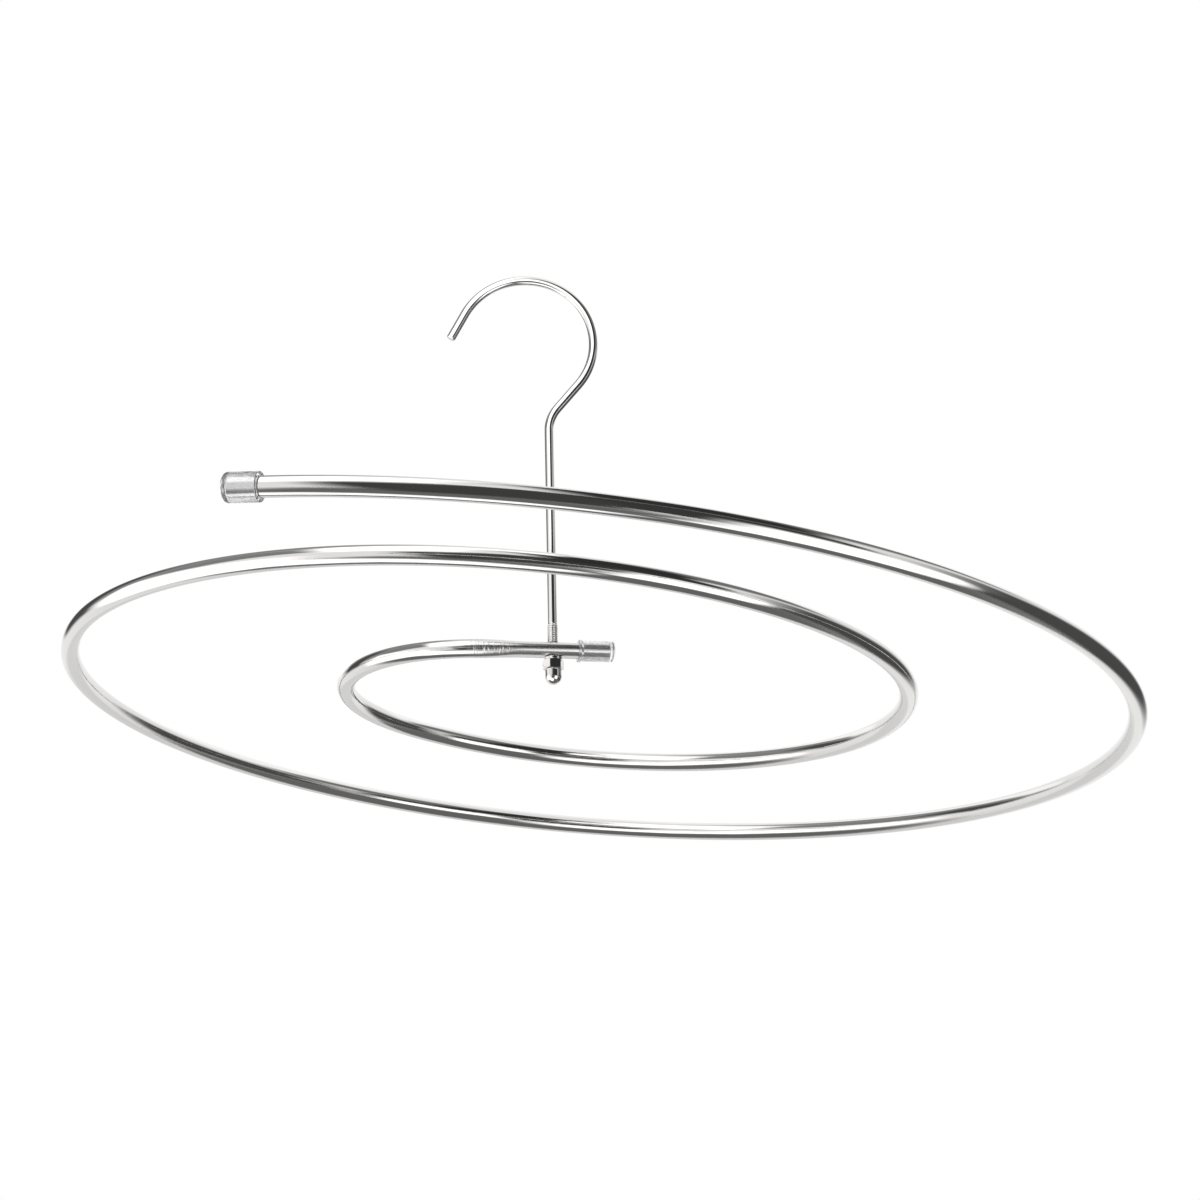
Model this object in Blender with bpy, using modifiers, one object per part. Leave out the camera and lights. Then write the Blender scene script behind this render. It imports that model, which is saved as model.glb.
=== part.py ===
"""Spiral drying rack: a hollow steel tube wound in a flat spiral and hung on a bent wire hook.

The hook's threaded shank passes through the tube's pressed inner end, and a cap nut below it
carries the tube, which turns freely round the shank. A clear sleeve cap closes each tube end.
Metres, +Z up. The world's origin is the point inside the hook that rests on a rail.
"""
from math import ceil, copysign, cos, pi, radians, sin, tan, tau

import bmesh
import bpy
from mathutils import Matrix, Vector

# Spiral tube
TUBE_DIAMETER = 0.010
TUBE_WALL = 0.0006
TUBE_SIDES = 16
COIL_CENTRE = Vector((-0.0057, 0.0165, -0.0085))
COIL_START_RADIUS = 0.1531
COIL_PITCH = 0.118
COIL_START_ANGLE = radians(116.7)
COIL_SWEEP = radians(587.3)
COIL_RING_STEP = radians(5.0)
COIL_TILT = radians(5.8)
COIL_DROP_PER_TURN = 0.0162
COIL_DROP_EASING = 0.0040

# Inner end of the tube, which runs straight and level through the shank
INNER_HEADING = radians(9.6)
INNER_END_REACH = 0.0296
INNER_STRAIGHT = 0.0295
INNER_BEND_PULL = 0.0846
COIL_JOIN_PULL = 0.0866
INNER_BEND_RINGS = 20
PRESS_DEPTH = 0.0024
PRESSED_LENGTH = 0.0466
PRESS_FADE = 0.021
STRAIGHT_RING_STEP = 0.006

# Wire hook
WIRE_DIAMETER = 0.005
WIRE_SIDES_PER_QUARTER = 3
HOOK_RADIUS = 0.037
HOOK_SET_OVER = 0.0122
HOOK_CENTRE_HEIGHT = 0.1724
HOOK_TIP_ANGLE = radians(151.0)
HOOK_TIP_LENGTH = 0.016
HOOK_LOWER_ANGLE = radians(-40.5)
HOOK_ARC_STEP = radians(6.0)
SHANK_BEND_RADIUS = 0.019
SHANK_BEND_POINTS = 8
TIP_CHAMFER = 0.0004
THREAD_DIAMETER = 0.0059
THREAD_TOP = 0.0139
THREAD_RUN_OUT = 0.0005
THREAD_END_CHAMFER = 0.0010
THREAD_CLEARANCE = 0.00035

# Cap nut
NUT_FLAT_WALL = 0.0017
NUT_COLLAR_INSET = 0.00025
NUT_COLLAR_HEIGHT = 0.0013
NUT_HEX_HEIGHT = 0.0055
NUT_CHAMFER = radians(30.0)
NUT_NECK_INSET = 0.0006
NUT_NECK_HEIGHT = 0.0034
NUT_EDGE = 0.0002
NUT_TURN = radians(-17.0)
NUT_DOME_POINTS = 8
SHANK_END_CLEARANCE = 0.0003

# Sleeve caps
CAP_CLEARANCE = 0.0003
CAP_END_WALL = 0.0024
CAP_END_ROUND = 0.0010
CAP_ROUND_POINTS = 4
OUTER_CAP_WALL = 0.0017
OUTER_CAP_GRIP = 0.0144
INNER_CAP_WALL = 0.0008
INNER_CAP_GRIP = 0.0162
INNER_CAP_LIP = 0.0005
INNER_CAP_LIP_LENGTH = 0.0014

SEAT_GAP = 0.0003
TURNED_STEPS = 32
CUTTER_OVERHANG = 0.002
MERGE_DISTANCE = 0.00001

TUBE_RADIUS = TUBE_DIAMETER / 2
WIRE_RADIUS = WIRE_DIAMETER / 2
PRESSED_HEIGHT = TUBE_DIAMETER - PRESS_DEPTH
PRESSED_RADIUS = PRESSED_HEIGHT / 2
# Pressing keeps the length round the section, so the halves move apart as they get lower.
PRESSED_SPREAD = pi * (TUBE_RADIUS - PRESSED_RADIUS) / 2
SHANK_HOLE_RADIUS = THREAD_DIAMETER / 2 + THREAD_CLEARANCE
NUT_TOP = -PRESSED_RADIUS - SEAT_GAP
NUT_APOTHEM = SHANK_HOLE_RADIUS + NUT_FLAT_WALL
NUT_CORNER_RADIUS = NUT_APOTHEM / cos(pi / 6)
NUT_NECK_RADIUS = NUT_APOTHEM - NUT_NECK_INSET
# The threaded hole stops where the dome starts.
NUT_BORE_END = NUT_TOP - NUT_COLLAR_HEIGHT - NUT_HEX_HEIGHT - NUT_NECK_HEIGHT
SHANK_END = NUT_BORE_END + SHANK_END_CLEARANCE
HUB = Vector((HOOK_SET_OVER, 0.0, -(HOOK_CENTRE_HEIGHT + HOOK_RADIUS - WIRE_RADIUS)))
UP = Vector((0.0, 0.0, 1.0))


def clear_scene():
    for old in list(bpy.data.objects):
        bpy.data.objects.remove(old, do_unlink=True)


def new_collection(name):
    collection = bpy.data.collections.new(name)
    bpy.context.scene.collection.children.link(collection)
    return collection


def new_material(name, colour, roughness, metallic, transmission=0.0):
    material = bpy.data.materials.new(name)
    material.use_nodes = True
    shader = material.node_tree.nodes["Principled BSDF"]
    shader.inputs["Base Color"].default_value = (*colour, 1.0)
    shader.inputs["Roughness"].default_value = roughness
    shader.inputs["Metallic"].default_value = metallic
    shader.inputs["Transmission Weight"].default_value = transmission
    material.diffuse_color = (*colour, 1.0)
    material.metallic = metallic
    material.roughness = roughness
    return material


def new_object(name, data, collection, material=None):
    thing = bpy.data.objects.new(name, data)
    collection.objects.link(thing)
    if material is not None:
        data.materials.append(material)
    return thing


def prism_cutter(name, sides, radius, depth, centre, turn, cutters):
    """An upright prism or cylinder that other pieces are cut with."""
    form = bmesh.new()
    bmesh.ops.create_cone(
        form, cap_ends=True, segments=sides, radius1=radius, radius2=radius, depth=depth
    )
    mesh = bpy.data.meshes.new(name)
    form.to_mesh(mesh)
    form.free()
    cutter = new_object(name, mesh, cutters)
    cutter.location = centre
    cutter.rotation_euler.z = turn
    cutter.hide_render = True
    cutter.display_type = "WIRE"
    return cutter


def add_boolean(thing, cutter, operation):
    boolean = thing.modifiers.new(operation.capitalize(), "BOOLEAN")
    boolean.operation = operation
    boolean.object = cutter
    boolean.solver = "EXACT"


def smooth_mesh(mesh, edge_angle=radians(35.0)):
    mesh.shade_smooth()
    mesh.set_sharp_from_angle(angle=edge_angle)


def steps_for(span, step):
    return max(1, ceil(abs(span) / step))


def pressed_amount(distance):
    """How far the tube is pressed at this distance from its inner end: 1 is fully, 0 is round."""
    t = min(1.0, max(0.0, (distance - PRESSED_LENGTH) / PRESS_FADE))
    return 1.0 - t * t * (3.0 - 2.0 * t)


def coil_point(angle):
    """The tube's centre after the coil has wound this far from its start, seen from the hub."""
    turns = angle / tau
    radius = COIL_START_RADIUS + COIL_PITCH * turns
    heading = COIL_START_ANGLE - angle
    height = COIL_DROP_EASING * turns * turns - COIL_DROP_PER_TURN * turns
    flat = Vector((radius * cos(heading), radius * sin(heading), height))
    return COIL_CENTRE + Matrix.Rotation(COIL_TILT, 3, "Y") @ flat


def coil_heading(angle):
    small = radians(0.01)
    return (coil_point(angle + small) - coil_point(angle - small)).normalized()


def bend_point(t, start, start_pull, end_pull, end):
    """A cubic curve from start to end, drawn by the two pull points."""
    s = 1.0 - t
    return s**3 * start + 3 * s * s * t * start_pull + 3 * s * t * t * end_pull + t**3 * end


def tube_path():
    """The centre line of the tube, from its inner end to its outer end, seen from the hub."""
    heading = Vector((-cos(INNER_HEADING), -sin(INNER_HEADING), 0.0))
    straight = INNER_END_REACH + INNER_STRAIGHT
    count = steps_for(straight, STRAIGHT_RING_STEP)
    points = [heading * (straight * i / count - INNER_END_REACH) for i in range(count)]
    start = heading * INNER_STRAIGHT
    end = coil_point(0.0)
    start_pull = start + heading * INNER_BEND_PULL
    end_pull = end - coil_heading(0.0) * COIL_JOIN_PULL
    for i in range(INNER_BEND_RINGS):
        points.append(bend_point(i / INNER_BEND_RINGS, start, start_pull, end_pull, end))
    count = steps_for(COIL_SWEEP, COIL_RING_STEP)
    points += [coil_point(COIL_SWEEP * i / count) for i in range(count + 1)]
    points.append(points[-1] + coil_heading(COIL_SWEEP) * OUTER_CAP_GRIP)
    return points


def headings_along(points):
    last = len(points) - 1
    return [(points[min(i + 1, last)] - points[max(i - 1, 0)]).normalized() for i in range(last + 1)]


def axes_across(heading):
    side = heading.cross(UP).normalized()
    return side, side.cross(heading)


def section_ring(centre, heading, radius, spread, sides):
    """A round section whose two halves are moved apart by spread, which leaves flats above and below."""
    side, up = axes_across(heading)
    ring = []
    for i in range(sides):
        angle = tau * (i + 0.5) / sides
        across = radius * cos(angle)
        across += copysign(spread, across)
        ring.append(centre + side * across + up * (radius * sin(angle)))
    return ring


def loft_mesh(name, rings):
    """An open skin through rings of equally many points."""
    sides = len(rings[0])
    corners = [point for ring in rings for point in ring]
    faces = []
    for row in range(len(rings) - 1):
        for i in range(sides):
            near = row * sides
            j = (i + 1) % sides
            faces.append((near + i, near + sides + i, near + sides + j, near + j))
    mesh = bpy.data.meshes.new(name)
    mesh.from_pydata(corners, [], faces)
    return mesh


def least_turn_gap(points):
    """The least clear distance between stretches of the tube a quarter turn or more apart along it."""
    quarter_turn = COIL_START_RADIUS * pi / 2
    along = [0.0]
    for before, after in zip(points, points[1:]):
        along.append(along[-1] + (after - before).length)
    apart = [
        (far - near).length
        for i, near in enumerate(points)
        for j, far in enumerate(points)
        if along[j] - along[i] > quarter_turn
    ]
    return min(apart) - TUBE_DIAMETER


def make_spiral_tube(parts, cutters, steel, swivel):
    points = tube_path()
    print("Least gap between the coil's turns:", round(least_turn_gap(points) * 1000, 1), "mm")
    headings = headings_along(points)
    rings = []
    distance = 0.0
    for i, (point, heading) in enumerate(zip(points, headings)):
        distance += (point - points[i - 1]).length if i else 0.0
        pressed = pressed_amount(distance)
        radius = TUBE_RADIUS + (PRESSED_RADIUS - TUBE_RADIUS) * pressed
        rings.append(section_ring(point, heading, radius, PRESSED_SPREAD * pressed, TUBE_SIDES))
    mesh = loft_mesh("spiral_tube", rings)
    smooth_mesh(mesh)
    tube = new_object("spiral_tube", mesh, parts, steel)
    tube.parent = swivel
    wall = tube.modifiers.new("Wall", "SOLIDIFY")
    wall.thickness = TUBE_WALL
    wall.offset = -1.0
    wall.use_even_offset = True
    depth = PRESSED_HEIGHT + 2 * CUTTER_OVERHANG
    hole = prism_cutter("shank_hole", TURNED_STEPS, SHANK_HOLE_RADIUS, depth, HUB, 0.0, cutters)
    add_boolean(tube, hole, "DIFFERENCE")
    return points, headings


def hook_points():
    """The wire's centre line from the hook's tip to the shank's end, as (point, radius) pairs."""
    centre = Vector((-HOOK_SET_OVER, 0.0, HOOK_CENTRE_HEIGHT))

    def on_arc(angle):
        return centre + HOOK_RADIUS * Vector((cos(angle), 0.0, sin(angle)))

    tip_heading = Vector((-sin(HOOK_TIP_ANGLE), 0.0, cos(HOOK_TIP_ANGLE)))
    tip = on_arc(HOOK_TIP_ANGLE) + tip_heading * HOOK_TIP_LENGTH
    wire = [(tip, WIRE_RADIUS - TIP_CHAMFER), (tip - tip_heading * TIP_CHAMFER, WIRE_RADIUS)]
    sweep = HOOK_TIP_ANGLE - HOOK_LOWER_ANGLE
    count = steps_for(sweep, HOOK_ARC_STEP)
    wire += [(on_arc(HOOK_TIP_ANGLE - sweep * i / count), WIRE_RADIUS) for i in range(count + 1)]
    # The slanting stretch leaves the arc on its tangent and is bent onto the shank's axis.
    slant = Vector((sin(HOOK_LOWER_ANGLE), 0.0, -cos(HOOK_LOWER_ANGLE)))
    leave = on_arc(HOOK_LOWER_ANGLE)
    corner = leave + slant * (-leave.x / slant.x)
    turn = -HOOK_LOWER_ANGLE
    bend_start = corner - slant * (SHANK_BEND_RADIUS * tan(turn / 2))
    bend_centre = Vector((SHANK_BEND_RADIUS, 0.0, corner.z - SHANK_BEND_RADIUS * tan(turn / 2)))
    first = bend_start - bend_centre
    for i in range(SHANK_BEND_POINTS + 1):
        back = Matrix.Rotation(-turn * i / SHANK_BEND_POINTS, 3, "Y")
        wire.append((bend_centre + back @ first, WIRE_RADIUS))
    thread_radius = THREAD_DIAMETER / 2
    for height, radius in (
        (THREAD_TOP + THREAD_RUN_OUT, WIRE_RADIUS),
        (THREAD_TOP, thread_radius),
        (SHANK_END + THREAD_END_CHAMFER, thread_radius),
        (SHANK_END, thread_radius - THREAD_END_CHAMFER / 2),
    ):
        wire.append((Vector((0.0, 0.0, height)), radius))
    return wire


def make_hook(parts, steel):
    wire = hook_points()
    curve = bpy.data.curves.new("hook", "CURVE")
    curve.dimensions = "3D"
    curve.bevel_depth = WIRE_RADIUS
    curve.bevel_resolution = 2 * WIRE_SIDES_PER_QUARTER - 2
    curve.use_fill_caps = True
    spline = curve.splines.new("POLY")
    spline.points.add(len(wire) - 1)
    for corner, (point, radius) in zip(spline.points, wire):
        corner.co = (*point, 1.0)
        corner.radius = radius / WIRE_RADIUS
    hook = new_object("hook", curve, parts, steel)
    hook.location = HUB
    return hook


def turned_object(name, profile, collection, material, half_step=False):
    """A body turned from (radius, height) points that run down its outer side."""
    angle = pi / TURNED_STEPS if half_step else 0.0
    corners = [(radius * cos(angle), radius * sin(angle), height) for radius, height in profile]
    edges = [(i, i + 1) for i in range(len(corners) - 1)]
    mesh = bpy.data.meshes.new(name)
    mesh.from_pydata(corners, edges, [])
    turned = new_object(name, mesh, collection, material)
    screw = turned.modifiers.new("Turn", "SCREW")
    screw.steps = TURNED_STEPS
    screw.render_steps = TURNED_STEPS
    screw.use_merge_vertices = True
    screw.merge_threshold = MERGE_DISTANCE
    screw.use_smooth_shade = True
    return turned


def nut_profile():
    """The nut's outline with its hexagon still round, from the hole's end out and down to the dome."""
    collar = NUT_APOTHEM - NUT_COLLAR_INSET
    corner = NUT_CORNER_RADIUS + NUT_EDGE
    hex_top = NUT_TOP - NUT_COLLAR_HEIGHT
    hex_bottom = hex_top - NUT_HEX_HEIGHT
    profile = [
        (0.0, NUT_BORE_END),
        (SHANK_HOLE_RADIUS, NUT_BORE_END),
        (SHANK_HOLE_RADIUS, NUT_TOP),
        (collar - NUT_EDGE, NUT_TOP),
        (collar, NUT_TOP - NUT_EDGE),
        (collar, hex_top),
        (corner, hex_top - (corner - collar) * tan(NUT_CHAMFER)),
        (corner, hex_bottom + (corner - NUT_NECK_RADIUS) * tan(NUT_CHAMFER)),
        (NUT_NECK_RADIUS, hex_bottom),
    ]
    for i in range(NUT_DOME_POINTS + 1):
        angle = pi / 2 * i / NUT_DOME_POINTS
        radius = NUT_NECK_RADIUS * cos(angle) if i < NUT_DOME_POINTS else 0.0
        profile.append((radius, NUT_BORE_END - NUT_NECK_RADIUS * sin(angle)))
    return profile


def make_cap_nut(parts, cutters, steel):
    nut = turned_object("cap_nut", nut_profile(), parts, steel)
    nut.location = HUB
    depth = NUT_TOP - NUT_BORE_END + NUT_NECK_RADIUS + 2 * CUTTER_OVERHANG
    centre = HUB + UP * (NUT_TOP + CUTTER_OVERHANG - depth / 2)
    flats = prism_cutter("nut_flats", 6, NUT_CORNER_RADIUS, depth, centre, NUT_TURN, cutters)
    add_boolean(nut, flats, "INTERSECT")
    return nut


def cap_profile(tube_radius, wall, grip, lip, lip_length):
    """A sleeve cap's outline, its mouth at height 0: over the closed end, down, and up inside."""
    inside = tube_radius + CAP_CLEARANCE
    outside = inside + wall
    floor = grip + CAP_CLEARANCE
    top = floor + CAP_END_WALL
    profile = [(0.0, top)]
    for i in range(CAP_ROUND_POINTS + 1):
        angle = pi / 2 * (1 - i / CAP_ROUND_POINTS)
        radius = outside - CAP_END_ROUND * (1 - cos(angle))
        profile.append((radius, top - CAP_END_ROUND * (1 - sin(angle))))
    if lip > 0.0:
        profile += [(outside, lip_length + lip), (outside + lip, lip_length)]
    profile += [(outside + lip, 0.0), (inside, 0.0), (inside, floor), (0.0, floor)]
    return profile


def place_cap(cap, end, outward, swivel):
    """Stands the cap's own +Z along the tube's end and keeps its width level."""
    side, up = axes_across(outward)
    turn = Matrix((-side, up, outward)).transposed()
    cap.parent = swivel
    cap.location = end
    cap.rotation_mode = "QUATERNION"
    cap.rotation_quaternion = turn.to_quaternion()


def make_outer_cap(parts, vinyl, tube_end, outward, swivel):
    profile = cap_profile(TUBE_RADIUS, OUTER_CAP_WALL, OUTER_CAP_GRIP, 0.0, 0.0)
    cap = turned_object("outer_end_cap", profile, parts, vinyl)
    place_cap(cap, tube_end - outward * OUTER_CAP_GRIP, outward, swivel)
    return cap


def make_inner_cap(parts, vinyl, tube_end, outward, swivel):
    """The round cap's form with its halves moved apart, as the pressed tube's are."""
    profile = cap_profile(
        PRESSED_RADIUS, INNER_CAP_WALL, INNER_CAP_GRIP, INNER_CAP_LIP, INNER_CAP_LIP_LENGTH
    )
    round_cap = turned_object("inner_end_cap_round", profile, parts, vinyl, half_step=True)
    graph = bpy.context.evaluated_depsgraph_get()
    mesh = bpy.data.meshes.new_from_object(round_cap.evaluated_get(graph))
    bpy.data.objects.remove(round_cap, do_unlink=True)
    for corner in mesh.vertices:
        if abs(corner.co.x) > MERGE_DISTANCE:
            corner.co.x += copysign(PRESSED_SPREAD, corner.co.x)
    mesh.name = "inner_end_cap"
    smooth_mesh(mesh)
    cap = bpy.data.objects.new("inner_end_cap", mesh)
    parts.objects.link(cap)
    place_cap(cap, tube_end - outward * INNER_CAP_GRIP, outward, swivel)
    return cap


def main():
    clear_scene()
    parts = new_collection("spiral_drying_rack")
    cutters = new_collection("cutters")
    tube_steel = new_material("polished_tube_steel", (0.62, 0.62, 0.63), 0.12, 1.0)
    wire_steel = new_material("bright_wire_steel", (0.60, 0.60, 0.61), 0.15, 1.0)
    nut_steel = new_material("plated_nut_steel", (0.58, 0.58, 0.60), 0.12, 1.0)
    vinyl = new_material("clear_vinyl", (0.90, 0.90, 0.92), 0.18, 0.0, transmission=0.8)

    swivel = new_object("coil_swivel", None, parts)
    swivel.location = HUB
    points, headings = make_spiral_tube(parts, cutters, tube_steel, swivel)
    make_hook(parts, wire_steel)
    make_cap_nut(parts, cutters, nut_steel)
    make_inner_cap(parts, vinyl, points[0], -headings[0], swivel)
    make_outer_cap(parts, vinyl, points[-1], headings[-1], swivel)


main()
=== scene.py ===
# %% [markdown]
# # Spiral drying rack
#
# A thin steel tube is wound in a flat spiral and hangs on a bent wire hook. The hook's threaded shank goes
# through the tube's pressed inner end, and a cap nut below it carries the tube, so the spiral can turn. A clear
# sleeve cap closes each end of the tube. The whole thing is polished metal, so most of what the eye sees is the
# studio mirrored in long thin curves. The lesson builds smooth pieces first, and then the studio round them.

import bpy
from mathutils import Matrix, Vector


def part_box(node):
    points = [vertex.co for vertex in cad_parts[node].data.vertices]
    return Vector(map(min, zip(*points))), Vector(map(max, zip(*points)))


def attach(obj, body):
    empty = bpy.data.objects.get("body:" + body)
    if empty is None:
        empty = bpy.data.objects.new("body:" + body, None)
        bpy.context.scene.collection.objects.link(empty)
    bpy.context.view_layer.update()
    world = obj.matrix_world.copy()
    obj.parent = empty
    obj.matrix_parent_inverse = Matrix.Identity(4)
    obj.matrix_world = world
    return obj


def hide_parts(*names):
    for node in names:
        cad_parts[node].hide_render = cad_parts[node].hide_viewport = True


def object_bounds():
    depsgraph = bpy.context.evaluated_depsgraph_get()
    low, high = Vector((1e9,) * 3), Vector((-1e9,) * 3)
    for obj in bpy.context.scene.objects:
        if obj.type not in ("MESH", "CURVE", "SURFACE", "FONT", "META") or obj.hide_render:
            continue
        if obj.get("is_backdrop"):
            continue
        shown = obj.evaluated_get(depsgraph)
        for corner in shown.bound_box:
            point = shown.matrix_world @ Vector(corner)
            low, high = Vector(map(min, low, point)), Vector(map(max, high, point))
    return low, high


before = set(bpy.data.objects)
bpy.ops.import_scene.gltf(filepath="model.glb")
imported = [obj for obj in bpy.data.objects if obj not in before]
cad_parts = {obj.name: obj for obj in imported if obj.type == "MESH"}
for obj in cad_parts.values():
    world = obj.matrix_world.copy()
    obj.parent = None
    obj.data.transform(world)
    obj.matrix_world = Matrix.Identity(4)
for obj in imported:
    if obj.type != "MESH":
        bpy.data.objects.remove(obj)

# %% [markdown]
# The imported part is the fixed frame. Each dressed piece below stands where one of its solids stands, so the box
# round the solids is kept now, and the box round the dressed pieces is measured at the end.

# %% Keep the solids' box
from math import ceil, copysign, cos, pi, radians, sin, tan, tau

import bmesh
import bpy
from mathutils import Matrix, Vector

MM = 0.001
UP = Vector((0.0, 0.0, 1.0))


def print_box(what, box):
    low, high = ([round(value / MM, 1) for value in corner] for corner in box)
    print(what, "reach from", low, "to", high, "mm")


cad_box = [list(corner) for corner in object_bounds()]
print_box("the solids", cad_box)

# %% [markdown]
# Every drawing here starts at the hub, the point on the shank's axis in the middle of the pressed tube. The
# shank's axis is the middle of the nut's box, because the nut is round about it. Its height comes from the
# nut's top, which lies just under the tube.

# %% Find the hub
TUBE_RADIUS = 5.0 * MM
PRESS_DEPTH = 2.4 * MM
PRESSED_RADIUS = TUBE_RADIUS - PRESS_DEPTH / 2
SEAT_GAP = 0.3 * MM

nut_low, nut_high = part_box("cap_nut")
nut_middle = (nut_low + nut_high) / 2
HUB = Vector((nut_middle.x, nut_middle.y, nut_high.z + SEAT_GAP + PRESSED_RADIUS))
print("hub at", [round(v / MM, 2) for v in HUB], "mm")

# %% [markdown]
# ## Camera
#
# The photograph was taken from below the rack, looking up at the spiral by about 16 degrees, through a long
# lens from a little under two metres. The camera goes in first, so that every later step can be judged in the
# photograph's own frame. Its turn is written as the direction it looks in and the direction that is up in the
# picture, which is easier to read than three angles. The place is in metres; the lens and the sensor are in
# millimetres.

# %% Camera at the photograph's place
CAMERA_FROM_HUB = Vector((0.0, -1.80681, -0.52874))
LOOKS = Vector((0.01339, 0.95569, 0.29407))
PICTURE_UP = Vector((0.01805, -0.29428, 0.95555))
LENS = 107.285
SENSOR_WIDTH = 36.0
NEAREST_SEEN = 10.0 * MM

camera = bpy.data.objects.new("camera", bpy.data.cameras.new("camera"))
bpy.context.scene.collection.objects.link(camera)
camera.data.lens = LENS
camera.data.sensor_width = SENSOR_WIDTH
camera.data.clip_start = NEAREST_SEEN
right = LOOKS.cross(PICTURE_UP).normalized()
turn = Matrix((right, right.cross(LOOKS).normalized(), -LOOKS.normalized())).transposed()
camera.matrix_world = Matrix.Translation(HUB + CAMERA_FROM_HUB) @ turn.to_4x4()
bpy.context.scene.camera = camera
print("camera", round(CAMERA_FROM_HUB.length, 3), "m from the hub")

# %% [markdown]
# ## Helpers
#
# A few short helpers serve every piece. One adds a node to a tree, sets it and links it: an input given as
# another node takes that node's first output. One links a new object to the scene. One turns an object with
# live modifiers into a plain mesh, because a finished piece has to carry its shape in its own mesh, with its
# place in it.

# %% Add nodes and objects
def add_node(tree, kind, inputs=None, **settings):
    node = tree.nodes.new(kind)
    for name, value in settings.items():
        setattr(node, name, value)
    for key, value in (inputs or {}).items():
        if isinstance(value, bpy.types.Node):
            value = value.outputs[0]
        if isinstance(value, bpy.types.NodeSocket):
            tree.links.new(value, node.inputs[key])
        else:
            node.inputs[key].default_value = value
    return node


def add_object(name, data):
    thing = bpy.data.objects.new(name, data)
    bpy.context.scene.collection.objects.link(thing)
    return thing


# %% Turn a live object into a finished piece
SHARP = radians(32.0)


def finished_piece(live, name, material, body, nodes):
    """A plain mesh at the origin that stands for the CAD nodes and rides on their body."""
    graph = bpy.context.evaluated_depsgraph_get()
    shown = live.evaluated_get(graph)
    mesh = bpy.data.meshes.new_from_object(shown, preserve_all_data_layers=True, depsgraph=graph)
    mesh.transform(live.matrix_world)
    bpy.data.objects.remove(live, do_unlink=True)
    mesh.shade_smooth()
    mesh.set_sharp_from_angle(angle=SHARP)
    mesh.materials.clear()
    mesh.materials.append(material)
    piece = add_object(name, mesh)
    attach(piece, body)
    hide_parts(*nodes)
    print(name, "has", sum(len(face.vertices) - 2 for face in mesh.polygons), "triangles")
    return piece


# %% [markdown]
# Colours are written as they look on a screen, in sRGB hex, and one function turns them to the linear values
# that a shader wants.

# %% Colours
def linear(hex_colour):
    shares = [int(hex_colour[i : i + 2], 16) / 255 for i in (0, 2, 4)]
    return (*(s / 12.92 if s <= 0.04045 else ((s + 0.055) / 1.055) ** 2.4 for s in shares), 1.0)


# %% [markdown]
# ## Metal finishes
#
# The tube is drawn and polished stainless steel. Polishing runs along the tube, so the mirror image is clean
# along it and a little smeared across it. The streaks follow the bent tube, so their pattern is read from an
# attribute that the tube's mesh carries: how far along, how far across and how high in the tube each point is.
# A real streak is some hundredths of a millimetre wide. It is drawn about ten times as coarse, so that it
# shows. Each scale says how many marks go in a metre: along the tube, across it and up.

# %% Polished stainless steel tube
STREAK_SCALE = (25.0, 1600.0, 1600.0)
WANDER_SCALE = (18.0, 120.0, 120.0)
POLISH_ROUGHNESS = (0.05, 0.12)

tube_steel = bpy.data.materials.new("drawn_and_polished_stainless_steel_tube")
tube_steel.use_nodes = True
tree = tube_steel.node_tree
steel = tree.nodes["Principled BSDF"]
steel.inputs["Base Color"].default_value = linear("DEDDDC")
steel.inputs["Metallic"].default_value = 1.0

place = add_node(tree, "ShaderNodeAttribute", attribute_name="tube_place")
streak_place = add_node(
    tree, "ShaderNodeMapping", {"Vector": place.outputs["Vector"], "Scale": STREAK_SCALE}
)
streaks = add_node(
    tree,
    "ShaderNodeTexNoise",
    {"Vector": streak_place.outputs[0], "Scale": 1.0, "Detail": 3.0, "Roughness": 0.6},
)
wander_place = add_node(
    tree, "ShaderNodeMapping", {"Vector": place.outputs["Vector"], "Scale": WANDER_SCALE}
)
wander = add_node(
    tree, "ShaderNodeTexNoise", {"Vector": wander_place.outputs[0], "Scale": 1.0, "Detail": 2.0}
)
rough = add_node(
    tree,
    "ShaderNodeMapRange",
    {
        "Value": streaks.outputs["Fac"],
        "From Min": 0.3,
        "From Max": 0.7,
        "To Min": POLISH_ROUGHNESS[0],
        "To Max": POLISH_ROUGHNESS[1],
    },
)

# %% [markdown]
# The press dulled the polish of the whole low stretch, and where its jaws ended they left short slanting
# scuffs. These lie where the round tube turns into the low one, about 50 to 78 mm from its inner end. There the
# surface is cut by fine parallel lines, 0.7 mm apart.

# %% Clamp scuffs on the tube
SCUFFS_FADE_IN = (50.0 * MM, 56.0 * MM)
SCUFFS_FADE_OUT = (70.0 * MM, 78.0 * MM)
SCUFF_SLANT = radians(35.0)
SCUFF_SCALE = (1400.0, 90.0, 90.0)
PRESS_DULLING = 0.13

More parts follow.
